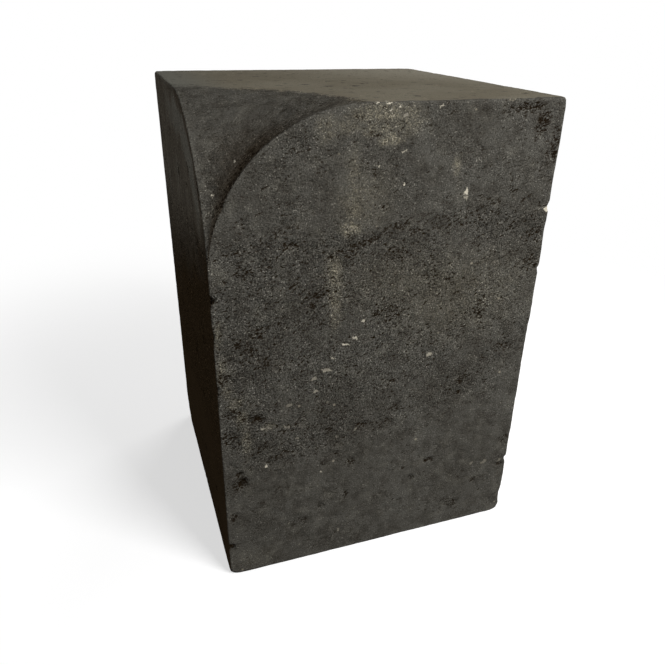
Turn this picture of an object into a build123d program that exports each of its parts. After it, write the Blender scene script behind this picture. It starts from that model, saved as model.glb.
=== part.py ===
from build123d import *
import os

# Internal corner block of a bullnose kerb, cast in one piece from dry concrete.
# Two neighbouring side faces are joint faces: each has the outline of the straight kerb that butts
# against it, a rectangle with one top edge rounded off.  Between them the rounding turns a quarter
# circle about the vertical edge that the two faces share, so it leaves a hollow like a quarter of a
# funnel in that corner.  The other two sides, the top and the base are plain.
# Frame: origin at the middle of the base, +X to the right along the front joint face, +Y towards the
# back, +Z up.  The hollow corner is at -X, -Y.

# Sizes in millimetres
height = 200.0             # base to flat top
width = 138.0              # each side in plan, which is the thickness of the straight kerb
bullnose_radius = 58.0     # rounding along the top of the kerb
arris = 1.5                # small rounding that the mould leaves on every edge

# The block is made one arris smaller all round and then grown by that much, which rounds every edge.
core_width = width - 2 * arris
core_height = height - 2 * arris
core_top = height - arris
spring_height = height - bullnose_radius
corner = (-width / 2, -width / 2, 0)


def core_hollow():
    """Turn the area outside the bullnose arc a quarter circle about the shared vertical edge."""
    with BuildPart() as hollow:
        with BuildSketch(Plane.XZ):
            with BuildLine():
                Polyline(
                    (arris, spring_height),
                    (0, spring_height),
                    (0, core_top),
                    (bullnose_radius, core_top),
                )
                RadiusArc(
                    (bullnose_radius, core_top),
                    (arris, spring_height),
                    arris - bullnose_radius,
                )
            make_face()
        revolve(axis=Axis.Z, revolution_arc=90)
    return hollow.part.moved(Location(corner))


def kerb_block():
    """One solid: the box, less the hollow in its corner, with all its edges rounded."""
    box = Box(core_width, core_width, core_height, align=(Align.CENTER, Align.CENTER, Align.MIN))
    core = box.moved(Location((0, 0, arris))) - core_hollow()
    return offset(core, amount=arris, kind=Kind.ARC).solid()


block = kerb_block()
block.label = "kerb_block"
box = block.bounding_box()
print(f"kerb_block {box.size.X:.2f} x {box.size.Y:.2f} x {box.size.Z:.2f} mm")
print(f"volume {block.volume / 1000:.1f} cm3, valid {block.is_valid}")

os.makedirs("parts", exist_ok=True)
export_step(block, "parts/kerb_block.step")
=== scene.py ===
# Internal corner block of a bullnose kerb, in charcoal dry-cast concrete.
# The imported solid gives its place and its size.  One fine mesh stands for it: the same form, with the
# open grain, pits, worn arrises and chips cut inwards, and one procedural concrete over all its sides.
import math
import bpy
import numpy as np
from mathutils import Euler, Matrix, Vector
from mathutils.geometry import delaunay_2d_cdt
from mathutils.kdtree import KDTree


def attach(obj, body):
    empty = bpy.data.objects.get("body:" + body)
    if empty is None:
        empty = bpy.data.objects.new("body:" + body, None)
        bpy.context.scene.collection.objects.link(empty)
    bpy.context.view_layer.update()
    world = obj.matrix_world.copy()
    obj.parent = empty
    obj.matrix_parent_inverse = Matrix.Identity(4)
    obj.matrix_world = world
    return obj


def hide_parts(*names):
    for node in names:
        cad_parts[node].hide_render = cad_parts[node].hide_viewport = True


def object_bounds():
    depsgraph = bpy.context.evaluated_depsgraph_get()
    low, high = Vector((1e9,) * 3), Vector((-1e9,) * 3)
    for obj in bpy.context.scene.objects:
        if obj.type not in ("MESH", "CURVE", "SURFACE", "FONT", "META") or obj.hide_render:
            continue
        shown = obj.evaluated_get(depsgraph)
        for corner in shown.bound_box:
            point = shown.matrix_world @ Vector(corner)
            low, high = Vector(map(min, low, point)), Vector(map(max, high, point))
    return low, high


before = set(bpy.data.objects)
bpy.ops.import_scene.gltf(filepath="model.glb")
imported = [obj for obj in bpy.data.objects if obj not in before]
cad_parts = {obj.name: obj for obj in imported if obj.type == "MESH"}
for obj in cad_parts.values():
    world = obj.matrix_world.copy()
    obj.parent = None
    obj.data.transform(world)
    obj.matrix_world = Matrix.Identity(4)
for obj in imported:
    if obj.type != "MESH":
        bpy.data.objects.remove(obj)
cad_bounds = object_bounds()

# Sizes in millimetres.  The mesh is made in a corner frame: the upright edge that the two joint faces
# share is the Z axis, X goes right along the front joint face and Y goes back along the left one.
low, high = cad_bounds
width = (high.x - low.x) * 1000
height = (high.z - low.z) * 1000
bullnose_radius = 58.0
spring_height = height - bullnose_radius
quarter_arc = bullnose_radius * math.pi / 2

# Fineness of the mesh: the step along edges, the rows close inside them and the step on each face
edge_step = 1.15
row_distances = (0.55, 1.2, 2.0)
front_step = 1.15
left_step = 1.35
top_step = 1.3
hollow_step = 1.35
far_step = 1.75
base_step = 3.0
arc_steps = round(quarter_arc / edge_step)

# Rounding of the arrises
common_arris = 0.6
least_arris = 0.3
worn_corners = (
    # corner, radius of the rounding there, how far it reaches
    ((0, 0, 0), 2.4, 5.0),
    ((width, 0, 0), 2.2, 5.0),
    ((0, width, 0), 8.0, 13.0),
    ((width, width, 0), 4.0, 10.0),
    ((width, width, height), 2.0, 7.0),
    ((width, 0, height), 1.4, 4.5),
    ((0, width, height), 1.8, 6.0),
)

# Streaks of the grain, which rise to the right across the front: their size along, into and across
streak_lean = math.radians(20)
streak_long = 11
streak_deep = 5
streak_tall = 3.6
streak_axes = np.array([
    (math.cos(streak_lean) / streak_long, 0, math.sin(streak_lean) / streak_long),
    (0, 1 / streak_deep, 0),
    (-math.sin(streak_lean) / streak_tall, 0, math.cos(streak_lean) / streak_tall),
])

# How far the dark voids are stretched along the streaks, into the block and across the streaks
void_stretch = (1.7, 1.0, 0.85)

# Heights at the left arris between which the front grain is coarse, and of the border on the left face
# between dust with painted light above it and soil with painted shade below it
coarse_top = 153
coarse_bottom = 60
light_border_top = 151

# Relief of the faces, in millimetres
broad_relief = 0.08
streak_relief = 0.22
fine_relief = 0.14
patch_relief = 0.2
face_unevenness = 0.06
deepest_relief = 3.0

# Seeds of the random fields and of the random pits
field_seeds = (11, 12, 13, 14)
pit_seed = 5

# Small pits at random places: how many are tried, their radii and the depth of the largest
pit_tries = 4200
pit_radii = (1.2, 2.4)
pit_depth = 0.6

# Damage that the photograph shows, as ellipsoid cuts: centre, radii, depth
front_pits = (
    ((7.8, 0, 50.2), (3.0, 2, 3.6), 1.5),
    ((6.6, 0, 55.2), (2.6, 2, 1.8), 1.3),
    ((14.6, 0, 80.6), (4.6, 2, 2.4), 0.6),
    ((22.5, 0, 83.0), (2.6, 2, 2.0), 0.4),
    ((60.0, 0, 69.0), (3.6, 2, 1.6), 0.6),
    ((96.0, 0, 42.0), (2.2, 2, 1.6), 0.4),
    ((86.0, 0, 33.0), (1.9, 2, 2.2), 0.8),
    ((0.6, 0, 16.8), (2.4, 3, 2.0), 2.2),
    ((111.5, 0, 113.0), (3.6, 2, 2.2), 0.8),
    ((128.0, 0, 97.0), (2.6, 2, 2.2), 0.7),
    ((42.0, 0, 28.5), (2.4, 2, 2.0), 0.6),
    ((40.0, 0, 66.0), (5.0, 2, 1.8), 0.7),
    ((28.0, 0, 62.0), (4.0, 2, 1.6), 0.6),
    ((45.1, 0, 146.2), (2.6, 2, 1.8), 0.7),
    ((29.9, 0, 151.9), (2.2, 2, 1.8), 0.6),
    ((5.5, 0, 167.7), (2.8, 2, 3.4), 0.6),
    ((133.0, 0, 159.5), (3.0, 2, 2.6), 0.7),
    ((134.0, 0, 29.8), (4.0, 3, 1.5), 1.2),
)
edge_chips = (
    ((width, 0, 158.6), (4.0, 4.0, 2.0), 0.6),
    ((width, 0, 147.0), (4.0, 4.0, 7.0), 0.25),
    ((width, 0, 132.0), (4.0, 4.0, 1.8), 0.45),
    ((width, 0, 32.5), (5.0, 5.0, 2.2), 0.9),
    ((width, 0, 9.5), (5.0, 5.0, 6.0), 0.45),
    ((width, 0, 92.0), (3.0, 3.0, 18.0), 0.2),
    ((0, 0, 134.5), (3.4, 4.0, 2.4), 1.8),
    ((0, 0, 120.0), (2.4, 3.0, 5.0), 0.5),
    ((0, 0, 97.0), (2.4, 3.0, 3.0), 0.5),
)

# How deep a pale grain reaches into the block, and where its tone starts and is full, in shares of its size
grain_reach = 4.0
grain_border = 1.15
grain_core = 0.55

# Pale grains that the photograph shows in the front face:
# distance across and height, half length and half width, lean in degrees, brightness
pale_grains = (
    (99.2, 167.2, 1.6, 0.75, 84, 0.62),
    (99.3, 164.6, 1.1, 0.5, 90, 0.30),
    (73.0, 171.7, 0.8, 0.5, 0, 0.50),
    (62.6, 178.5, 0.6, 0.4, 0, 0.40),
    (52.4, 109.0, 2.2, 0.6, -20, 0.50),
    (56.1, 111.6, 1.4, 0.8, -35, 0.50),
    (59.3, 118.6, 1.1, 0.6, 30, 0.50),
    (46.8, 103.9, 1.4, 0.5, -15, 0.38),
    (44.5, 98.7, 3.0, 1.0, -14, 0.31),
    (89.7, 98.2, 1.9, 0.9, 10, 0.34),
    (38.8, 95.7, 1.6, 0.9, 35, 0.26),
    (39.5, 89.9, 1.1, 0.7, 0, 0.26),
    (28.4, 85.2, 1.6, 1.0, 20, 0.19),
    (17.4, 76.2, 0.9, 0.6, 0, 0.34),
    (19.4, 76.4, 1.3, 0.8, -60, 0.19),
    (27.1, 75.0, 1.8, 0.7, -20, 0.20),
    (6.3, 90.8, 1.3, 0.8, 30, 0.16),
    (31.8, 68.2, 1.0, 0.9, 0, 0.17),
    (49.2, 65.2, 0.8, 1.3, 0, 0.16),
    (57.4, 66.8, 0.7, 1.3, -10, 0.17),
    (52.6, 73.6, 0.4, 0.4, 0, 0.22),
    (27.3, 22.8, 1.0, 0.6, 60, 0.19),
    (58.7, 23.3, 0.4, 1.0, 0, 0.15),
    (32.0, 8.6, 0.5, 0.7, 0, 0.16),
    (50.8, 12.2, 0.9, 1.7, 0, 0.19),
    (18.0, 57.0, 0.45, 0.4, 0, 0.55),
    (42.1, 48.0, 0.6, 0.4, 0, 0.40),
    (118.3, 34.0, 1.1, 1.1, 0, 0.17),
    (125.4, 33.3, 2.5, 1.3, 14, 0.16),
    (134.0, 31.8, 2.0, 0.9, 6, 0.15),
    (137.0, 157.4, 1.2, 1.5, 0, 0.60),
    (85.6, 198.4, 1.2, 0.6, 25, 0.34),
    (61.4, 199.6, 1.0, 0.35, 0, 0.50),
    (65.4, 199.6, 1.5, 0.35, 0, 0.55),
    (66.4, 197.6, 1.1, 0.5, 0, 0.46),
    (69.4, 198.4, 0.5, 0.5, 0, 0.50),
    (71.6, 195.2, 1.6, 0.8, 60, 0.24),
    (72.3, 183.1, 1.1, 0.5, 15, 0.28),
)

# Bright grains in the hollow: place, radius, brightness
hollow_grains = (
    ((4.3, 6.3, 170.7), 0.8, 0.66),
    ((2.4, 4.2, 165.1), 0.6, 0.36),
    ((3.4, 4.0, 166.4), 0.5, 0.20),
    ((13.0, 8.3, 181.4), 0.6, 0.40),
)

# Tan smudges on the front face: distance across and height, half sizes, strength
front_smudges = (
    (53.5, 171.0, 3.6, 18.0, 0.24),
    (53.0, 156.5, 5.5, 3.2, 0.50),
    (54.0, 163.0, 3.4, 7.0, 0.32),
    (47.0, 139.5, 4.2, 10.0, 0.38),
    (47.5, 127.0, 3.4, 12.0, 0.30),
    (66.0, 196.5, 13.0, 5.0, 0.36),
    (57.0, 196.0, 7.0, 5.0, 0.32),
    (61.5, 191.0, 7.0, 2.6, 0.34),
    (67.0, 187.6, 5.5, 2.2, 0.46),
    (73.0, 194.0, 8.0, 6.0, 0.30),
    (50.0, 192.5, 6.0, 4.0, 0.22),
    (43.0, 192.0, 5.0, 6.0, 0.24),
    (94.0, 177.0, 2.0, 4.5, 0.40),
    (2.4, 145.0, 3.0, 8.0, 0.06),
    (1.6, 120.0, 2.2, 6.0, 0.30),
    (2.0, 106.0, 2.6, 6.0, 0.30),
    (4.0, 96.0, 2.4, 4.0, 0.28),
    (6.4, 90.0, 3.2, 4.0, 0.34),
    (9.0, 83.0, 2.6, 4.0, 0.32),
    (10.5, 71.0, 2.2, 10.0, 0.26),
    (20.0, 76.5, 3.5, 2.4, 0.30),
    (58.0, 167.0, 14.0, 14.0, 0.13),
    (76.0, 133.0, 34.0, 16.0, 0.10),
    (102.0, 124.0, 42.0, 24.0, 0.13),
    (10.0, 7.0, 14.0, 7.0, 0.08),
)

# Patches of open, dark grain on the front face:
# distance across and height, half length and half width, lean in degrees, strength
rough_patches = (
    (28.0, 157.5, 7.0, 2.0, 25, 0.7),
    (30.0, 152.5, 4.0, 2.4, 0, 0.9),
    (12.0, 162.0, 4.0, 2.2, 20, 0.6),
    (9.0, 151.5, 5.0, 1.8, 0, 0.7),
    (22.0, 146.0, 6.0, 2.6, 20, 0.5),
    (12.0, 144.5, 4.0, 4.0, 0, 0.6),
    (46.0, 146.5, 4.4, 1.8, 25, 0.9),
    (40.0, 132.0, 7.0, 1.8, 12, 0.9),
    (38.0, 128.0, 2.0, 1.7, 0, 1.0),
    (31.5, 137.0, 3.0, 2.4, 60, 0.8),
    (59.0, 151.0, 10.0, 1.8, 17, 0.9),
    (54.0, 146.0, 5.0, 2.6, 15, 0.6),
    (17.0, 119.0, 4.5, 2.6, 20, 0.7),
    (12.0, 113.0, 6.0, 4.0, -30, 0.7),
    (18.0, 107.0, 4.0, 2.6, 30, 0.7),
    (35.0, 105.5, 5.0, 2.0, 10, 0.5),
    (3.0, 101.5, 3.0, 3.0, 0, 0.8),
    (42.5, 179.0, 3.0, 2.0, 0, 0.6),
    (34.0, 185.5, 4.0, 2.4, 0, 0.4),
    (65.0, 163.5, 3.4, 1.8, 0, 0.9),
    (60.0, 189.5, 6.0, 1.2, -14, 0.8),
    (67.0, 121.5, 6.0, 1.8, 12, 0.8),
    (73.0, 156.5, 6.0, 2.6, 10, 0.8),
    (84.0, 156.0, 12.0, 5.0, 5, 0.5),
    (102.0, 158.0, 11.0, 6.0, 0, 0.4),
    (105.0, 164.0, 3.0, 2.2, 0, 0.8),
    (111.0, 162.5, 4.0, 2.2, 0, 0.7),
    (119.5, 166.0, 2.0, 2.4, 0, 0.9),
    (127.0, 162.0, 3.0, 1.8, -15, 0.7),
    (122.0, 152.0, 4.0, 2.4, 0, 0.5),
    (131.5, 146.0, 5.0, 5.0, 0, 0.6),
    (123.5, 138.5, 4.0, 3.4, 0, 0.6),
    (132.0, 135.5, 6.0, 3.4, 0, 0.8),
    (97.0, 132.0, 4.0, 2.2, -20, 0.8),
    (101.5, 125.0, 4.0, 3.0, 20, 0.5),
    (111.5, 117.0, 4.0, 5.5, 10, 0.9),
    (113.5, 109.5, 3.0, 1.6, -20, 0.8),
    (87.0, 112.0, 2.6, 1.6, 0, 0.6),
    (72.0, 119.0, 5.0, 3.4, 20, 0.6),
    (123.0, 197.0, 8.0, 2.6, 0, 1.0),
    (129.0, 191.0, 4.0, 6.0, -25, 1.0),
    (135.5, 182.0, 3.0, 8.0, 0, 0.9),
    (113.0, 195.5, 5.0, 3.4, 0, 0.6),
    (71.0, 145.5, 6.0, 4.0, 10, 0.6),
    (14.0, 81.0, 5.5, 2.4, -12, 1.0),
    (5.5, 85.5, 3.4, 3.4, 0, 0.8),
    (3.0, 74.5, 4.0, 4.0, 0, 0.8),
    (16.5, 66.5, 3.4, 2.6, 0, 0.6),
    (23.5, 61.0, 6.0, 1.8, 25, 0.8),
    (27.0, 73.5, 3.4, 2.6, 0, 0.7),
    (41.0, 80.5, 4.0, 3.0, 20, 0.7),
    (33.0, 78.0, 4.0, 2.4, 0, 0.4),
    (46.0, 69.0, 2.6, 2.6, 0, 0.6),
    (60.0, 69.0, 4.4, 2.0, -10, 0.9),
    (66.5, 66.0, 3.4, 1.8, 0, 0.6),
    (55.5, 50.0, 4.0, 3.0, 0, 0.9),
    (49.0, 56.0, 1.6, 2.0, 0, 0.9),
    (43.0, 52.5, 2.0, 1.6, 0, 0.9),
    (3.2, 33.0, 3.0, 3.0, 0, 0.8),
    (14.5, 36.0, 5.0, 3.0, 20, 0.5),
    (23.5, 43.0, 5.0, 3.0, 0, 0.5),
    (42.0, 29.0, 2.0, 1.6, 0, 1.0),
    (53.8, 32.5, 1.4, 2.4, 0, 1.0),
    (31.5, 22.5, 6.0, 3.0, 10, 0.65),
    (74.0, 88.0, 5.0, 3.0, 0, 0.6),
    (76.0, 75.0, 4.0, 3.0, 20, 0.7),
    (72.0, 68.5, 3.4, 1.6, 0, 0.7),
    (107.0, 83.0, 4.0, 2.4, 30, 0.8),
    (106.3, 76.5, 1.8, 1.6, 0, 1.0),
    (126.5, 97.0, 5.0, 2.4, -20, 0.8),
    (95.0, 41.8, 3.8, 1.6, 15, 1.0),
    (7.0, 50.5, 4.4, 4.2, 60, 1.0),
    (6.6, 55.0, 2.0, 1.2, 0, 1.0),
    (86.0, 33.5, 2.2, 1.8, 0, 1.0),
    (81.8, 40.0, 1.6, 1.0, 0, 0.9),
    (77.5, 24.0, 5.0, 1.6, -40, 0.75),
    (134.5, 45.5, 3.0, 3.4, 0, 0.8),
    (120.5, 23.5, 2.0, 2.0, 0, 0.9),
    (109.0, 12.5, 7.0, 3.4, -35, 0.75),
    (119.8, 79.5, 1.8, 1.2, 0, 0.8),
    (1.6, 16.6, 2.4, 2.0, 0, 1.0),
)

# Spots where the dark concrete shows through the top's tan film: across, back, radius
film_gaps = (
    (42.0, 100.0, 3.0),
    (52.0, 91.0, 3.0),
    (32.0, 84.0, 3.2),
    (26.0, 106.0, 2.4),
    (54.0, 61.0, 3.4),
    (62.0, 54.0, 3.6),
    (66.0, 44.0, 3.0),
    (73.0, 53.0, 3.2),
    (80.0, 61.0, 2.8),
    (107.0, 54.0, 2.8),
    (74.0, 31.0, 2.2),
    (83.0, 14.0, 3.0),
    (100.0, 22.0, 2.2),
    (133.0, 38.0, 2.8),
    (136.0, 11.0, 2.4),
)

# Tones: linear red, green, blue and alpha
charcoal_dark = (0.064, 0.060, 0.051, 1)
charcoal_light = (0.084, 0.080, 0.069, 1)
damp_tone = (0.025, 0.021, 0.016, 1)
grey_smudge = (0.125, 0.118, 0.098, 1)
film_brown = (0.143, 0.127, 0.095, 1)
film_tan = (0.163, 0.147, 0.112, 1)
film_grey = (0.136, 0.132, 0.111, 1)
# Painted sheen: the film's colour toward the top's far corner is lighter
film_far_sheen = (0.225, 0.206, 0.163, 1)
stain_tone = (0.262, 0.236, 0.172, 1)
# Dust tones, which also paint light on the upper part of the left face
dust_and_light_brown = (0.215, 0.182, 0.138, 1)
dust_and_light_pale = (0.250, 0.236, 0.198, 1)
# Brown soil tone, also painted shade on the lower left face, along the left arc's arris and in the hollow
soil_and_shade_tone = (0.056, 0.036, 0.018, 1)
worn_tone = (0.12, 0.115, 0.10, 1)
# Dark of the voids between the grains, also painted shade in deep cuts
void_and_shade_tone = (0.0155, 0.0105, 0.0058, 1)
glitter_tone = (0.42, 0.38, 0.31, 1)
speck_tone = (0.24, 0.215, 0.165, 1)
pale_tint = (1.0, 0.92, 0.74)

# Lamps: name, direction from the block, distance in metres, size in metres, power in watts
lamps = (
    ("key_lamp", (0.39, -0.735, 0.56), 0.8, 0.35, 7.4),
    ("side_lamp", (-0.95, 0.15, 0.15), 0.8, 0.5, 0.85),
    ("back_lamp", (0.55, 0.72, 0.42), 0.9, 0.5, 4.0),
)

# Even light from all round, and the floor, which turns white between two distances in metres
white = (1, 1, 1, 1)
world_light = 0.09
floor_half = 4.0
floor_drop = 0.0001
floor_grey = (0.55, 0.55, 0.55, 1)
floor_glow = 0.62
floor_bounce = (0.13, 0.13, 0.13, 1)
white_start = 0.18
white_end = 0.45

# Camera of the photograph: place in metres, turn in degrees, lens and sensor in millimetres
camera_place = (-0.096261, -0.275389, 0.225998)
camera_turn = (63.2370, -0.9069, -19.1627)
camera_lens = 34.140
camera_sensor = 36.0


def unit(vectors):
    """The same directions with length one."""
    return vectors / np.maximum(np.linalg.norm(vectors, axis=-1, keepdims=True), 1e-12)


def smooth_step(values, start, end):
    """Zero at start, one at end, with a smooth turn at both."""
    share = np.clip((values - start) / (end - start), 0, 1)
    return share * share * (3 - 2 * share)


def to_frame(places):
    """Places in the corner frame, in millimetres, as metres in the shared frame."""
    return ((np.array(places) - (width / 2, width / 2, 0)) / 1000).tolist()


def reach_from_edge(points):
    """Distance from the upright edge that the two joint faces share."""
    return np.hypot(points[:, 0], points[:, 1])


def facing(outward, axis, start, end):
    """One where the surface faces against an axis, zero where it doesn't."""
    return smooth_step(-outward[:, axis], start, end)


def noise_field(seed):
    """A smooth random field over 3-D points, from about -1 to 1, with features about one unit across."""
    period = 256
    spread = 1.5
    random = np.random.default_rng(seed)
    table = np.tile(random.permutation(period), 2)
    slopes = unit(random.normal(size=(period, 3)))

    def field(points):
        cell = np.floor(points).astype(int)
        inside = points - cell
        fade = inside**3 * (inside * (inside * 6 - 15) + 10)
        total = np.zeros(len(points))
        for offset in np.ndindex(2, 2, 2):
            at = (cell + offset) % period
            pick = table[table[table[at[:, 0]] + at[:, 1]] + at[:, 2]]
            weight = np.prod(np.where(offset, fade, 1 - fade), axis=1)
            total += weight * np.sum(slopes[pick] * (inside - offset), axis=1)
        return total * spread

    return field


def line(start, end, count=None):
    """Evenly spaced points from start to end."""
    start, end = np.array(start, float), np.array(end, float)
    count = count or round(np.linalg.norm(end - start) / edge_step)
    return start + np.linspace(0, 1, count + 1)[:, None] * (end - start)


def arc(centre, radius, first, last):
    """Points along a quarter arc, from the first angle to the last, in degrees."""
    angle = np.radians(np.linspace(first, last, arc_steps + 1))
    return np.array(centre) + radius * np.stack([np.cos(angle), np.sin(angle)], axis=1)


def closed_loop(*parts):
    """Joins curves that follow each other into one closed loop."""
    return np.concatenate([part[:-1] for part in parts])


def row_points(loop, depth):
    """Rows of points close inside a loop, where the arrises need a finer mesh."""
    along_before = unit(loop - np.roll(loop, 1, axis=0))
    along_after = unit(np.roll(loop, -1, axis=0) - loop)
    left_before = np.stack([-along_before[:, 1], along_before[:, 0]], axis=1)
    left_after = np.stack([-along_after[:, 1], along_after[:, 0]], axis=1)
    mitre = (left_before + left_after) / (1 + np.sum(left_before * left_after, axis=1, keepdims=True))
    rows = []
    for distance in row_distances:
        row = loop + distance * mitre
        rows.append(row[depth(row) > distance * 0.97])
    return np.concatenate(rows)


def grid_points(loop, depth, step, random):
    """A slightly shaken triangular grid over the rest of a loop's inside."""
    lowest, highest = loop.min(axis=0), loop.max(axis=0)
    columns = np.arange(lowest[0], highest[0], step)
    rows = np.arange(lowest[1], highest[1], step * math.sqrt(3) / 2)
    across, up = np.meshgrid(columns, rows)
    across[1::2] += step / 2
    points = np.stack([across.ravel(), up.ravel()], axis=1)
    points += random.uniform(-0.12, 0.12, points.shape) * step
    return points[depth(points) > row_distances[-1] + 0.45 * step]


def fill(loop, depth, step, seed):
    """Triangles over a closed 2-D loop."""
    keep_inside = 1
    tolerance = 1e-5
    inner = np.concatenate([
        row_points(loop, depth),
        grid_points(loop, depth, step, np.random.default_rng(seed)),
    ])
    count = len(loop)
    points = [Vector(point) for point in np.concatenate([loop, inner])]
    corners, _, triangles, *_ = delaunay_2d_cdt(points, [], [range(count)], keep_inside, tolerance, False)
    corners, triangles = np.array(corners), np.array(triangles)
    inside = depth(corners[triangles].mean(axis=1)) > 0
    return corners, triangles[inside]


def joint_face():
    """Outline of a joint face and the depth inside it: across, up, back and round the bullnose."""
    centre = (bullnose_radius, spring_height)
    loop = closed_loop(
        line((0, 0), (width, 0)),
        line((width, 0), (width, height)),
        line((width, height), (bullnose_radius, height)),
        arc(centre, bullnose_radius, 90, 180),
        line((0, spring_height), (0, 0)),
    )

    def depth(points):
        across, up = points.T
        sides = np.minimum.reduce([across, width - across, up, height - up])
        in_corner = (across < bullnose_radius) & (up > spring_height)
        round_side = bullnose_radius - np.hypot(bullnose_radius - across, up - spring_height)
        return np.where(in_corner, round_side, sides)

    return loop, depth


def plain_face(long, tall):
    """Outline of a rectangular face and the depth inside it."""
    loop = closed_loop(
        line((0, 0), (long, 0)),
        line((long, 0), (long, tall)),
        line((long, tall), (0, tall)),
        line((0, tall), (0, 0)),
    )
    return loop, lambda points: np.minimum(points, (long, tall) - points).min(axis=1)


def top_face():
    """Outline of the flat top, which the hollow's rim leaves out of one corner, and the depth inside it."""
    loop = closed_loop(
        line((bullnose_radius, 0), (width, 0)),
        line((width, 0), (width, width)),
        line((width, width), (0, width)),
        line((0, width), (0, bullnose_radius)),
        arc((0, 0), bullnose_radius, 90, 0),
    )

    def depth(points):
        sides = np.minimum(points, width - points).min(axis=1)
        return np.minimum(sides, np.hypot(*points.T) - bullnose_radius)

    return loop, depth


def hollow_face():
    """The hollow laid flat: distance along its profile from the lower tip, and angle round the edge."""
    loop = closed_loop(
        line((0, 0), (quarter_arc, 0), arc_steps),
        arc((0, 0), quarter_arc, 0, 90),
        line((0, quarter_arc), (0, 0), arc_steps),
    )

    def depth(points):
        return np.minimum(points.min(axis=1), quarter_arc - np.hypot(*points.T))

    return loop, depth


def hollow_to_block(points):
    """Puts points of the flat hollow on its curved surface."""
    along = np.hypot(*points.T)
    round_edge = np.arctan2(points[:, 1], points[:, 0])
    turn = along / bullnose_radius
    reach = bullnose_radius * (1 - np.cos(turn))
    return np.stack([
        reach * np.cos(round_edge),
        reach * np.sin(round_edge),
        spring_height + bullnose_radius * np.sin(turn),
    ], axis=1)


def plane_to_block(fixed_axis, value):
    """Puts points of a flat face in its plane, which holds one coordinate at a set value."""
    return lambda points: np.insert(points, fixed_axis, value, axis=1)


def sharp_block():
    """Points and triangles of the whole block before its arrises are rounded."""
    welds_per_mm = 1e4
    faces = (
        (joint_face(), front_step, plane_to_block(1, 0.0)),
        (joint_face(), left_step, plane_to_block(0, 0.0)),
        (hollow_face(), hollow_step, hollow_to_block),
        (top_face(), top_step, plane_to_block(2, height)),
        (plain_face(width, height), far_step, plane_to_block(0, width)),
        (plain_face(width, height), far_step, plane_to_block(1, width)),
        (plain_face(width, width), base_step, plane_to_block(2, 0.0)),
    )
    middle = np.array((width, width, height)) / 2
    all_points, all_triangles, start = [], [], 0
    for seed, ((loop, depth), step, to_block) in enumerate(faces):
        corners, triangles = fill(loop, depth, step, seed)
        corners = to_block(corners)
        first, second, third = (corners[triangles[:, place]] for place in range(3))
        facing = np.cross(second - first, third - first).sum(axis=0)
        if facing @ (corners.mean(axis=0) - middle) < 0:
            triangles = triangles[:, ::-1]
        all_points.append(corners)
        all_triangles.append(triangles + start)
        start += len(corners)
    points, triangles = np.concatenate(all_points), np.concatenate(all_triangles)
    cells = np.round(points * welds_per_mm).astype(int)
    _, keep, place = np.unique(cells, axis=0, return_index=True, return_inverse=True)
    triangles = place.ravel()[triangles]
    whole = (triangles != np.roll(triangles, 1, axis=1)).all(axis=1)
    return points[keep], triangles[whole]


def face_depths(points):
    """How deep each point lies below the six kinds of face, and the directions into the block."""
    x, y, z = points.T
    reach = reach_from_edge(points)
    from_centre = np.stack([reach - bullnose_radius, z - spring_height], axis=1)
    distance = np.maximum(np.linalg.norm(from_centre, axis=1), 1e-9)
    in_hollow = (reach < bullnose_radius) & (z > spring_height)
    outward_reach = from_centre[:, 0] / distance / np.maximum(reach, 1e-9)
    roof = np.where(in_hollow, bullnose_radius - distance, height - z)
    into_roof = np.where(
        in_hollow[:, None],
        -np.stack([outward_reach * x, outward_reach * y, from_centre[:, 1] / distance], axis=1),
        (0.0, 0.0, -1.0),
    )
    depths = [x, y, width - x, width - y, z, roof]
    ways_in = [(1, 0, 0), (0, 1, 0), (-1, 0, 0), (0, -1, 0), (0, 0, 1)]
    ways_in = [np.tile(np.array(way, float), (len(points), 1)) for way in ways_in] + [into_roof]
    return depths, ways_in


def round_arrises(points, radius):
    """Rounds every arris: each point goes to the block made smaller by radius and then back out by it."""
    passes = 25
    depths, ways_in = face_depths(points)
    move = np.zeros_like(points)
    pushes = np.zeros((len(depths), len(points)))
    for _ in range(passes):
        for index, (depth, way) in enumerate(zip(depths, ways_in)):
            lack = radius - depth - np.sum(way * move, axis=1)
            push = np.maximum(pushes[index] + lack, 0)
            move += (push - pushes[index])[:, None] * way
            pushes[index] = push
    outward = -unit(move)
    return points + move + outward * radius[:, None], outward


def cut(points, marks):
    """Depth of a set of ellipsoid cuts at each point."""
    flat_share = 0.25
    depth = np.zeros(len(points))
    for centre, radii, deepest in marks:
        distance = np.linalg.norm((points - centre) / radii, axis=1)
        depth = np.maximum(depth, deepest * (1 - smooth_step(distance, flat_share, 1.0)))
    return depth


def scattered_pits(points, openness):
    """Depth of many small round pits at random places, mostly where the grain is open."""
    random = np.random.default_rng(pit_seed)
    tree = KDTree(len(points))
    for index, point in enumerate(points):
        tree.insert(point, index)
    tree.balance()
    depth = np.zeros(len(points))
    for centre in random.integers(len(points), size=pit_tries):
        if random.random() > openness[centre]:
            continue
        radius = random.uniform(*pit_radii)
        bottom = pit_depth * random.uniform(0.4, 1) * radius / pit_radii[1]
        for _, index, distance in tree.find_range(points[centre], radius):
            share = 1 - (distance / radius) ** 2
            depth[index] = max(depth[index], bottom * share)
    return depth


def arris_radius(points, medium, quick):
    """Radius of the arrises near each point: small and uneven, and larger at the worn corners."""
    radius = common_arris * (1 + 0.6 * medium(points / 11) + 0.3 * quick(points / 3.5))
    for corner, corner_radius, reach in worn_corners:
        near = 1 - smooth_step(np.linalg.norm(points - corner, axis=1), 0, reach)
        radius += near * (corner_radius - common_arris)
    return np.maximum(radius, least_arris)


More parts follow.
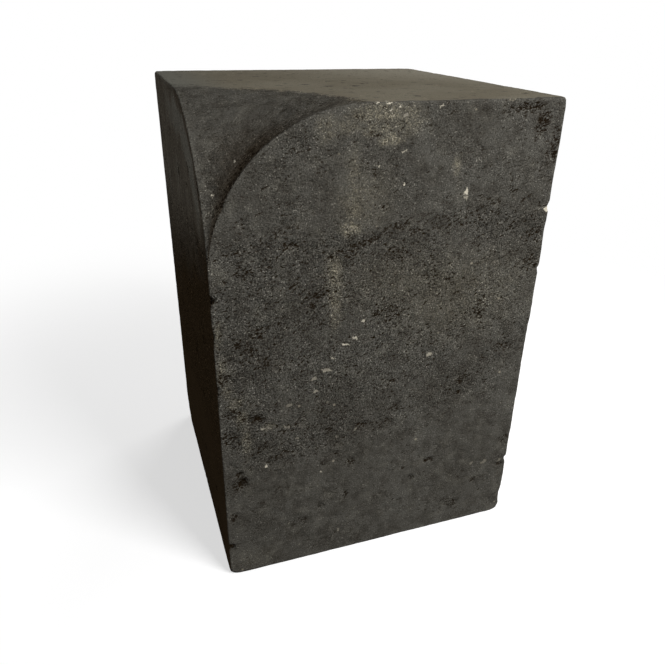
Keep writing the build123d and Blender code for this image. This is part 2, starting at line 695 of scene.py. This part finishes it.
def relief_depth(points, openness, rough, rim, second_depth, noises):
    """Depth of the relief cut inwards, calmer along the arrises than on the faces."""
    slow, medium, quick, fine = noises
    streaks = np.maximum(medium(points @ streak_axes.T) - 0.1, 0)
    calm = 1 - 0.85 * (1 - smooth_step(second_depth, 0.6, 3.4))
    depth = openness * (broad_relief * (1 + quick(points / 6)) + streak_relief * streaks)
    depth += openness * fine_relief * (1 + fine(points / 2.6))
    depth += scattered_pits(points, openness)
    depth += patch_relief * rough * (1 + 0.6 * fine(points / 2.2))
    depth *= calm
    depth += face_unevenness * (1 + slow(points / 38))
    wear = 0.15 + 0.4 * np.maximum(slow(points / 24), 0)
    depth += rim * np.maximum(quick(points / 4.5) - 0.2, 0) * wear
    damage = cut(points, front_pits + edge_chips) * (1 + 0.5 * fine(points / 1.8))
    depth += np.maximum(damage, 0)
    return np.clip(depth, 0, deepest_relief)


def block_mesh():
    """The finished block in the shared frame, with the masks that its material reads."""
    points, triangles = sharp_block()
    noises = [noise_field(seed) for seed in field_seeds]
    slow, medium, quick, _ = noises

    depths, _ = face_depths(points)
    second_depth = np.sort(np.stack(depths), axis=0)[1]
    rim = 1 - smooth_step(second_depth, 0.4, 2.4)
    rounded, outward = round_arrises(points, arris_radius(points, medium, quick))

    openness = grain_openness(points, second_depth, slow)
    rough = rough_grain(points, outward, openness, noises)
    openness = np.maximum(openness, np.minimum(0.95 * rough, 1))
    depth = relief_depth(points, openness, rough, rim, second_depth, noises)
    shaped = rounded - outward * depth[:, None]

    mesh = bpy.data.meshes.new("kerb_block_surface")
    mesh.from_pydata(to_frame(shaped), [], triangles.tolist())
    masks = {
        "openness": openness,
        "rough": rough,
        "rim": rim,
        "cut_depth": np.clip(depth / 2, 0, 1),
        "film": top_film(points, slow, quick),
        "stain": front_stain(points, outward, quick),
        # Dust with painted light on the upper left face; soil with painted shade below it, along the left
        # arc and in the hollow
        "dust_and_painted_light": left_dust_and_painted_light(points, outward, medium, slow),
        "soil_and_painted_shade": np.maximum(left_soil_and_shade(points, outward, slow), hollow_soil_and_shade(points, slow, quick)),
    }
    for name, values in masks.items():
        mesh.attributes.new(name, "FLOAT", "POINT").data.foreach_set("value", values.astype(np.float32))
    return mesh


def in_hollow(points):
    """True on the hollow's curved surface."""
    reach = reach_from_edge(points)
    return (reach < bullnose_radius) & (points[:, 2] > spring_height) & (points[:, :2].min(axis=1) > 0.1)


def turn_round_edge(points):
    """The angle round the shared upright edge, in degrees from the front joint face."""
    return np.degrees(np.arctan2(points[:, 1], points[:, 0]))


def beside_front_arc(points):
    """One in the hollow along its front arris, zero from about half way round the upright edge."""
    return 1 - smooth_step(turn_round_edge(points), 12, 48)


def grain_openness(points, second_depth, slow):
    """How open the grain is: coarse in a band round the sides, calmer elsewhere, closed on the top."""
    on_top = (points[:, 2] > height - 0.01) & ~in_hollow(points)
    closed = on_top * smooth_step(second_depth, 0.3, 1.6)
    across = points[:, 0]
    upper_border = coarse_top + 0.07 * across + 4 * slow(points / 25)
    lower_border = coarse_bottom + 0.12 * across + 8 * slow(points / 30)
    below_upper = smooth_step(upper_border - points[:, 2], -4, 6)
    above_lower = smooth_step(points[:, 2] - lower_border, -18, 14)
    openness = 0.40 + above_lower * (0.18 + 0.42 * below_upper * (1 - 0.45 * smooth_step(across, 40, 130)))
    openness = np.clip(openness * (1 + 0.5 * slow(points / 18)), 0, 1)
    calmer = 0.30 * in_hollow(points) * smooth_step(points[:, 2], 158, 182) * (1 - beside_front_arc(points))
    return openness * (1 - calmer) * (1 - 0.80 * closed)


def rough_grain(points, outward, openness, noises):
    """Where the grain is broken open: patches in front, random ones elsewhere, a band in the hollow."""
    slow, medium, quick, _ = noises
    shaken = points + 0.9 * quick(points / 3)[:, None]
    hollow = in_hollow(points)
    front = facing(outward, 1, 0.1, 0.5) * ~hollow
    rough = front * patch_mask(shaken, rough_patches, 0.5)
    scattered = smooth_step(medium(shaken / 6.5) + 0.6 * slow(points / 20), 0.38, 0.80)
    rough += (1 - front) * ~hollow * (openness > 0.2) * 0.9 * scattered
    rough += 0.8 * hollow * beside_front_arc(points) * (1 - smooth_step(points[:, 2], 182, 197))
    return rough


def patch_mask(points, patches, core):
    """One in the core of leaning oval patches on the front face, falling to zero at their borders."""
    mask = np.zeros(len(points))
    for across, up, half_long, half_wide, lean, strength in patches:
        turn = math.radians(lean)
        right, above = points[:, 0] - across, points[:, 2] - up
        along = (right * math.cos(turn) + above * math.sin(turn)) / half_long
        beside = (above * math.cos(turn) - right * math.sin(turn)) / half_wide
        mask = np.maximum(mask, strength * (1 - smooth_step(np.hypot(along, beside), core, 1.25)))
    return mask


def top_film(points, slow, quick):
    """Where the tan film lies: on the flat top, with a fringe at the hollow's rim and the front arris."""
    reach = reach_from_edge(points)
    ragged = 2.4 * slow(points / 14) + 2.0 * quick(points / 4)
    flat = smooth_step(points[:, 2], height - 1.4, height - 0.4)
    film = flat * smooth_step(reach + ragged, bullnose_radius - 10, bullnose_radius + 8)
    film *= smooth_step(points[:, 1] + 0.9 * ragged, 0.3, 1.8)
    film *= 1 - 0.5 * (1 - smooth_step(points[:, 0], 8, 24)) * (1 - smooth_step(points[:, 1], 60, 95))
    for across, back, radius in film_gaps:
        distance = np.hypot(points[:, 0] - across, points[:, 1] - back)
        distance += 1.2 * quick(points / 2.2) + 1.5 * slow(points / 6)
        film *= 1 - 0.65 * (1 - smooth_step(distance, 0, 1.3 * radius))
    near_rim = smooth_step(reach + ragged, 0.4 * bullnose_radius, bullnose_radius)
    return np.maximum(film, 0.12 * in_hollow(points) * near_rim)


def front_stain(points, outward, quick):
    """Tan smudges on the front joint face."""
    ragged = points + 1.5 * quick(points / 4)[:, None]
    smudges = [(across, up, wide, tall, 0, strength) for across, up, wide, tall, strength in front_smudges]
    return patch_mask(ragged, smudges, 0.1) * facing(outward, 1, 0.6, 0.9)


def above_border(points, slow):
    """One above the left face's sloping border between dust with painted light and soil with painted shade,
    zero below it.
    """
    border = light_border_top - 0.28 * points[:, 1] - 5 * slow(points / 12) - 8 * slow(points / 45)
    half_band = 9 + 0.18 * points[:, 1]
    return smooth_step((points[:, 2] - border) / half_band, -1, 1)


def depth_below_arc(points):
    """How far a point of the left joint face lies inside the bullnose arc, and a large value below it."""
    from_arc = bullnose_radius - np.hypot(bullnose_radius - points[:, 1], points[:, 2] - spring_height)
    from_edge = np.where(points[:, 1] < bullnose_radius, from_arc, height - points[:, 2])
    return np.where(points[:, 2] > spring_height, from_edge, 1000)


def left_dust_and_painted_light(points, outward, medium, slow):
    """Dust and painted light on the upper part of the left joint face: faint streaks, and a thicker band
    along the arc.
    """
    streaks = medium(points * (1, 1 / 3, 1 / 45)) + 0.6 * slow(points / 25)
    below_arc = depth_below_arc(points) + 4 * slow(points / 14)
    band = smooth_step(below_arc, 3, 7) * (1 - smooth_step(below_arc, 12, 22))
    band *= 1 - smooth_step(points[:, 1], 70, 105)
    dust_and_painted_light = above_border(points, slow) * (0.56 + 0.24 * streaks + 0.30 * band)
    return np.clip(dust_and_painted_light, 0, 1) * facing(outward, 0, 0.6, 0.9)


def left_soil_and_shade(points, outward, slow):
    """Brown soil and painted shade on the rest of the left joint face, and a thin line of painted shade
    along the arris of the arc above.
    """
    below = 1 - above_border(points, slow)
    beside_arc = 1 - smooth_step(depth_below_arc(points), 1.0, 5.0)
    # Painted shade: a thin dark line along the arris of the arc
    arris_shade_share = 0.5 * (points[:, 1] < bullnose_radius) * beside_arc
    return np.maximum(below, arris_shade_share) * facing(outward, 0, 0.6, 0.9)


def hollow_soil_and_shade(points, slow, quick):
    """A little soil and painted shade in the hollow along its front arris, which thins out round the
    upright edge.
    """
    turn = turn_round_edge(points)
    turn += 12 * slow(points / 12)
    turn += 8 * quick(points / 3)
    share = 0.28 * (1 - smooth_step(turn, 8, 34)) + 0.32 * (1 - smooth_step(turn, 20, 80))
    share *= 1 - 0.8 * smooth_step(points[:, 2], height - 16, height - 3)
    return share * in_hollow(points) * smooth_step(points[:, 1], 0.3, 1.4)


class Nodes:
    """Short calls that add nodes to one tree and hand back their outputs."""

    def __init__(self, tree):
        self.tree = tree
        tree.nodes.clear()

    def add(self, kind, inputs=(), out=0, **settings):
        node = self.tree.nodes.new("ShaderNode" + kind)
        for name, value in settings.items():
            setattr(node, name, value)
        for place, value in dict(inputs).items():
            if isinstance(value, bpy.types.NodeSocket):
                self.tree.links.new(value, node.inputs[place])
            else:
                node.inputs[place].default_value = value
        return node.outputs[out] if node.outputs else None

    def math(self, operation, first, second=0.0, third=0.0, clamp=False):
        return self.add("Math", {0: first, 1: second, 2: third}, operation=operation, use_clamp=clamp)

    def ramp(self, value, start, end, low=0.0, high=1.0):
        places = {"Value": value, "From Min": start, "From Max": end, "To Min": low, "To Max": high}
        return self.add("MapRange", places, interpolation_type="SMOOTHSTEP")

    def mix(self, share, first, second):
        # A Mix node has its two colours at inputs 6 and 7 and the mixed colour at output 2
        return self.add("Mix", {0: share, 6: first, 7: second}, out=2, data_type="RGBA")

    def noise(self, where, scale, detail, roughness=0.5):
        places = {"Vector": where, "Scale": scale, "Detail": detail, "Roughness": roughness}
        return self.add("TexNoise", places)

    def mask(self, name):
        return self.add("Attribute", out="Fac", attribute_name=name)


def pale_grain_mask(nodes, where, raggedness):
    """The brightness of each pale grain of the front face and the hollow inside it, and zero elsewhere."""
    ragged = nodes.add("VectorMath", {0: where, 1: raggedness}, operation="ADD")
    total = 0.0
    for across, up, half_long, half_wide, lean, brightness in pale_grains:
        local = nodes.add("Mapping", {
            "Vector": ragged,
            "Location": to_frame((across, 0, up)),
            "Rotation": (0, -math.radians(lean), 0),
            "Scale": (half_long / 1000, grain_reach / 1000, half_wide / 1000),
        }, vector_type="TEXTURE")
        distance = nodes.add("VectorMath", {0: local}, out="Value", operation="LENGTH")
        inside = nodes.ramp(distance, grain_border, grain_core, 0.0, brightness)
        total = nodes.math("MAXIMUM", inside, total)
    for place, radius, brightness in hollow_grains:
        places = {0: ragged, 1: to_frame(place)}
        distance = nodes.add("VectorMath", places, out="Value", operation="DISTANCE")
        border, core = grain_border * radius / 1000, grain_core * radius / 1000
        inside = nodes.ramp(distance, border, core, 0.0, brightness)
        total = nodes.math("MAXIMUM", inside, total)
    return total


def surface_tone(nodes, where):
    """Charcoal tone in slow clouds, with the tan film and its painted sheen, stain, dust with painted light
    and soil with painted shade over it.
    """
    rim, film, stain = nodes.mask("rim"), nodes.mask("film"), nodes.mask("stain")
    dust_and_painted_light, soil_and_painted_shade = nodes.mask("dust_and_painted_light"), nodes.mask("soil_and_painted_shade")
    across = nodes.add("VectorMath", {0: where, 1: (1, 0, 0)}, out="Value", operation="DOT_PRODUCT")
    to_far_corner = nodes.add("VectorMath", {0: where, 1: (1, 1, 0)}, out="Value", operation="DOT_PRODUCT")

    clouds = nodes.noise(where, 38, 3)
    patches = nodes.noise(where, 210, 4, 0.6)
    tone = nodes.mix(nodes.ramp(clouds, 0.3, 0.7), charcoal_dark, charcoal_light)
    dark_tone = nodes.mix(0.42, tone, damp_tone)
    tone = nodes.mix(nodes.ramp(patches, 0.34, 0.60), dark_tone, tone)
    smudges = nodes.noise(where, 130, 3, 0.6)
    tone = nodes.mix(nodes.ramp(smudges, 0.50, 0.68, 0.0, 0.38), tone, grey_smudge)

    film_tone = nodes.mix(nodes.ramp(clouds, 0.35, 0.65), film_brown, film_tan)
    film_tone = nodes.mix(nodes.ramp(across, -0.040, -0.066), film_tone, film_grey)
    # Painted sheen: the film turns lighter toward the top's far corner
    film_tone = nodes.mix(nodes.ramp(to_far_corner, 0.01, 0.12), film_tone, film_far_sheen)
    film_gap = nodes.ramp(nodes.noise(where, 240, 3, 0.6), 0.58, 0.67, 1.0, 0.4)
    film_grain = nodes.math("MULTIPLY_ADD", nodes.noise(where, 620, 3, 0.7), 1.4, third=film)
    film_share = nodes.math("MULTIPLY", nodes.ramp(film_grain, 1.02, 1.36), film_gap)
    tone = nodes.mix(film_share, tone, film_tone)
    broken = nodes.ramp(nodes.noise(where, 1300, 3, 0.7), 0.42, 0.64, 0.40, 1.80)
    tone = nodes.mix(nodes.math("MULTIPLY", stain, broken, clamp=True), tone, stain_tone)
    # Dust with painted light on the upper part of the left face
    dust_and_light_tone = nodes.mix(nodes.ramp(dust_and_painted_light, 0.55, 0.85), dust_and_light_brown, dust_and_light_pale)
    tone = nodes.mix(dust_and_painted_light, tone, dust_and_light_tone)
    # Brown soil with painted shade: lower left face, the left arc's arris and the hollow by its front arris
    tone = nodes.mix(nodes.math("MULTIPLY", soil_and_painted_shade, 0.92), tone, soil_and_shade_tone)
    return nodes.mix(nodes.math("MULTIPLY", rim, 0.15), tone, worn_tone)


def pale_specks(nodes, where, tone):
    """Adds a few pale grains everywhere, and those that the front face shows."""
    cells = nodes.tree.nodes.new("ShaderNodeTexVoronoi")
    cells.inputs["Scale"].default_value = 330
    nodes.tree.links.new(where, cells.inputs["Vector"])
    pick = nodes.add("SeparateColor", {0: cells.outputs["Color"]})
    near = nodes.ramp(cells.outputs["Distance"], 0.26, 0.12)
    rare = nodes.ramp(pick, 0.985, 0.992)
    tone = nodes.mix(nodes.math("MULTIPLY", near, rare), tone, speck_tone)

    wander = nodes.add("TexNoise", {"Vector": where, "Scale": 700, "Detail": 2}, out="Color")
    wander = nodes.add("VectorMath", {0: wander, 1: (-0.5, -0.5, -0.5)}, operation="ADD")
    wander = nodes.add("VectorMath", {0: wander, "Scale": 0.0030}, operation="SCALE")
    brightness = pale_grain_mask(nodes, where, wander)
    pale = nodes.add("VectorMath", {0: pale_tint, 1: brightness}, operation="MULTIPLY")
    return nodes.mix(nodes.ramp(brightness, 0.0, 0.08), tone, pale)


def grain_shade(nodes, sand, grains, openness):
    """Light and dark of the sand, with bright grains in it, as strong as the grain is open."""
    sand_shade = nodes.ramp(sand, 0.34, 0.66, 0.42, 1.58)
    bright_shade = nodes.ramp(grains, 0.61, 0.72, 1.0, 3.2)
    shade = nodes.math("MULTIPLY", sand_shade, bright_shade)
    return nodes.add("Mix", {0: openness, 2: 1.0, 3: shade}, data_type="FLOAT")


def darken_voids(nodes, tone, field, level, soft_border, openness):
    """Turns the tone dark where a random field lies below a level and the grain is open."""
    above = nodes.math("SUBTRACT", field, level)
    inside = nodes.math("MULTIPLY", nodes.ramp(above, soft_border, -0.03), openness)
    return nodes.mix(nodes.math("MULTIPLY", inside, 1.15, clamp=True), tone, void_and_shade_tone)


def add_voids(nodes, tone, voids, blotches):
    """Adds the voids between the grains, the larger ones of rough patches and painted shade in deep cuts.
    """
    openness, rough, cut_depth = nodes.mask("openness"), nodes.mask("rough"), nodes.mask("cut_depth")
    void_level = nodes.math("MULTIPLY_ADD", openness, 0.035, third=0.345)
    void_level = nodes.math("MULTIPLY_ADD", rough, 0.10, third=void_level)
    tone = darken_voids(nodes, tone, voids, void_level, 0.06, openness)
    blotch_level = nodes.math("MULTIPLY_ADD", rough, 0.105, third=0.345)
    tone = darken_voids(nodes, tone, blotches, blotch_level, 0.02, openness)
    # Painted shade: darker where the relief is cut deep, in pits, chips and streaks
    cut_shade = nodes.math("MULTIPLY_ADD", nodes.math("SUBTRACT", 0.5, voids), 2.6, third=cut_depth)
    return nodes.mix(nodes.ramp(cut_shade, 0.38, 0.80, 0.0, 0.85), tone, void_and_shade_tone)


def concrete_material():
    """Charcoal concrete: sand grains with dark voids and bright grains between them."""
    material = bpy.data.materials.new("charcoal_concrete")
    material.use_nodes = True
    nodes = Nodes(material.node_tree)
    where = nodes.add("TexCoord", out="Object")
    openness = nodes.mask("openness")

    streaked = nodes.add("Mapping", {
        "Vector": where,
        "Rotation": (0, -streak_lean, 0),
        "Scale": void_stretch,
    }, vector_type="TEXTURE")
    elsewhere = nodes.add("VectorMath", {0: where, 1: (0.3, 0.1, 0.2)}, operation="ADD")
    sand = nodes.noise(where, 1700, 2, 0.7)
    grains = nodes.noise(elsewhere, 1500, 1, 0.6)
    voids = nodes.noise(streaked, 950, 3, 0.7)
    blotches = nodes.noise(streaked, 820, 3, 0.7)

    shade = grain_shade(nodes, sand, grains, openness)
    tone = nodes.add("VectorMath", {0: surface_tone(nodes, where), 1: shade}, operation="MULTIPLY")
    tone = add_voids(nodes, tone, voids, blotches)
    stained = nodes.ramp(nodes.mask("stain"), 0.28, 0.55)
    glitter = nodes.math("MULTIPLY", nodes.ramp(grains, 0.59, 0.66), stained)
    tone = pale_specks(nodes, where, nodes.mix(glitter, tone, glitter_tone))

    height_map = nodes.math("ADD", nodes.math("MULTIPLY", sand, 0.4), nodes.math("MULTIPLY", voids, 0.8))
    bump_depth = nodes.math("MULTIPLY", nodes.math("ADD", openness, 0.15), 0.0012)
    bump = nodes.add("Bump", {"Strength": 1.0, "Distance": bump_depth, "Height": height_map})
    surface = nodes.add("BsdfPrincipled", {
        "Base Color": tone,
        "Roughness": 0.95,
        "Specular IOR Level": 0.0,
        "Normal": bump,
    })
    nodes.add("OutputMaterial", {"Surface": surface})
    return material


def seen_by_eye(nodes):
    """One for the rays that show a surface as background, zero for the rays that light the object."""
    path = nodes.tree.nodes.new("ShaderNodeLightPath")
    seen = path.outputs["Is Camera Ray"]
    for name in ("Is Glossy Ray", "Is Transmission Ray"):
        seen = nodes.math("MAXIMUM", seen, path.outputs[name])
    return seen


def floor_material():
    """Pale floor that turns pure white away from the block and keeps its shadow near it."""
    material = bpy.data.materials.new("pale_floor")
    material.use_nodes = True
    nodes = Nodes(material.node_tree)
    where = nodes.add("TexCoord", out="Object")
    distance = nodes.add("VectorMath", {0: where}, out="Value", operation="LENGTH")
    far = nodes.ramp(distance, white_start, white_end)
    lit = nodes.add("BsdfDiffuse", {"Color": floor_grey})
    glow = nodes.add("Emission", {"Color": white, "Strength": floor_glow})
    near_floor = nodes.add("AddShader", {0: lit, 1: glow})
    far_floor = nodes.add("Emission", {"Color": white, "Strength": 1.0})
    shown = nodes.add("MixShader", {0: far, 1: near_floor, 2: far_floor})
    bounce = nodes.add("BsdfDiffuse", {"Color": floor_bounce})
    surface = nodes.add("MixShader", {0: seen_by_eye(nodes), 1: bounce, 2: shown})
    nodes.add("OutputMaterial", {"Surface": surface})
    return material


def link(name, data):
    """A new object of the scene."""
    made = bpy.data.objects.new(name, data)
    bpy.context.scene.collection.objects.link(made)
    return made


def add_block():
    """The visible block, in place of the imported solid."""
    mesh = block_mesh()
    mesh.materials.append(concrete_material())
    mesh.shade_smooth()
    block = link("kerb_block_concrete", mesh)
    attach(block, "root")
    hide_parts("kerb_block")


def add_floor():
    """A wide pale floor under the block."""
    mesh = bpy.data.meshes.new("floor_plane")
    signs = ((-1, -1), (1, -1), (1, 1), (-1, 1))
    corners = [(floor_half * across, floor_half * back, 0) for across, back in signs]
    mesh.from_pydata(corners, [], [(0, 1, 2, 3)])
    mesh.materials.append(floor_material())
    floor = link("floor", mesh)
    floor.location.z = -floor_drop


def add_world():
    """White behind everything, and a low even light for the object."""
    world = bpy.data.worlds.new("studio")
    bpy.context.scene.world = world
    world.use_nodes = True
    nodes = Nodes(world.node_tree)
    strength = nodes.ramp(seen_by_eye(nodes), 0, 1, world_light, 1.0)
    background = nodes.add("Background", {"Color": white, "Strength": strength})
    nodes.add("OutputWorld", {"Surface": background})


def add_lamp(name, direction, distance, size, power):
    """A square soft lamp that shines at the middle of the block."""
    lamp = bpy.data.lights.new(name, "AREA")
    lamp.size = size
    lamp.energy = power
    made = link(name, lamp)
    towards = Vector(direction).normalized()
    made.location = Vector((0, 0, height / 2000)) + towards * distance
    made.rotation_euler = towards.to_track_quat("Z", "Y").to_euler()


def add_camera():
    """The photograph's camera."""
    camera = bpy.data.cameras.new("camera")
    camera.lens = camera_lens
    camera.sensor_width = camera_sensor
    camera.clip_start = 0.01
    made = link("camera", camera)
    made.location = camera_place
    made.rotation_euler = Euler([math.radians(angle) for angle in camera_turn])
    bpy.context.scene.camera = made


add_block()
add_floor()
add_world()
for settings in lamps:
    add_lamp(*settings)
add_camera()
bpy.context.scene.view_settings.view_transform = "Standard"
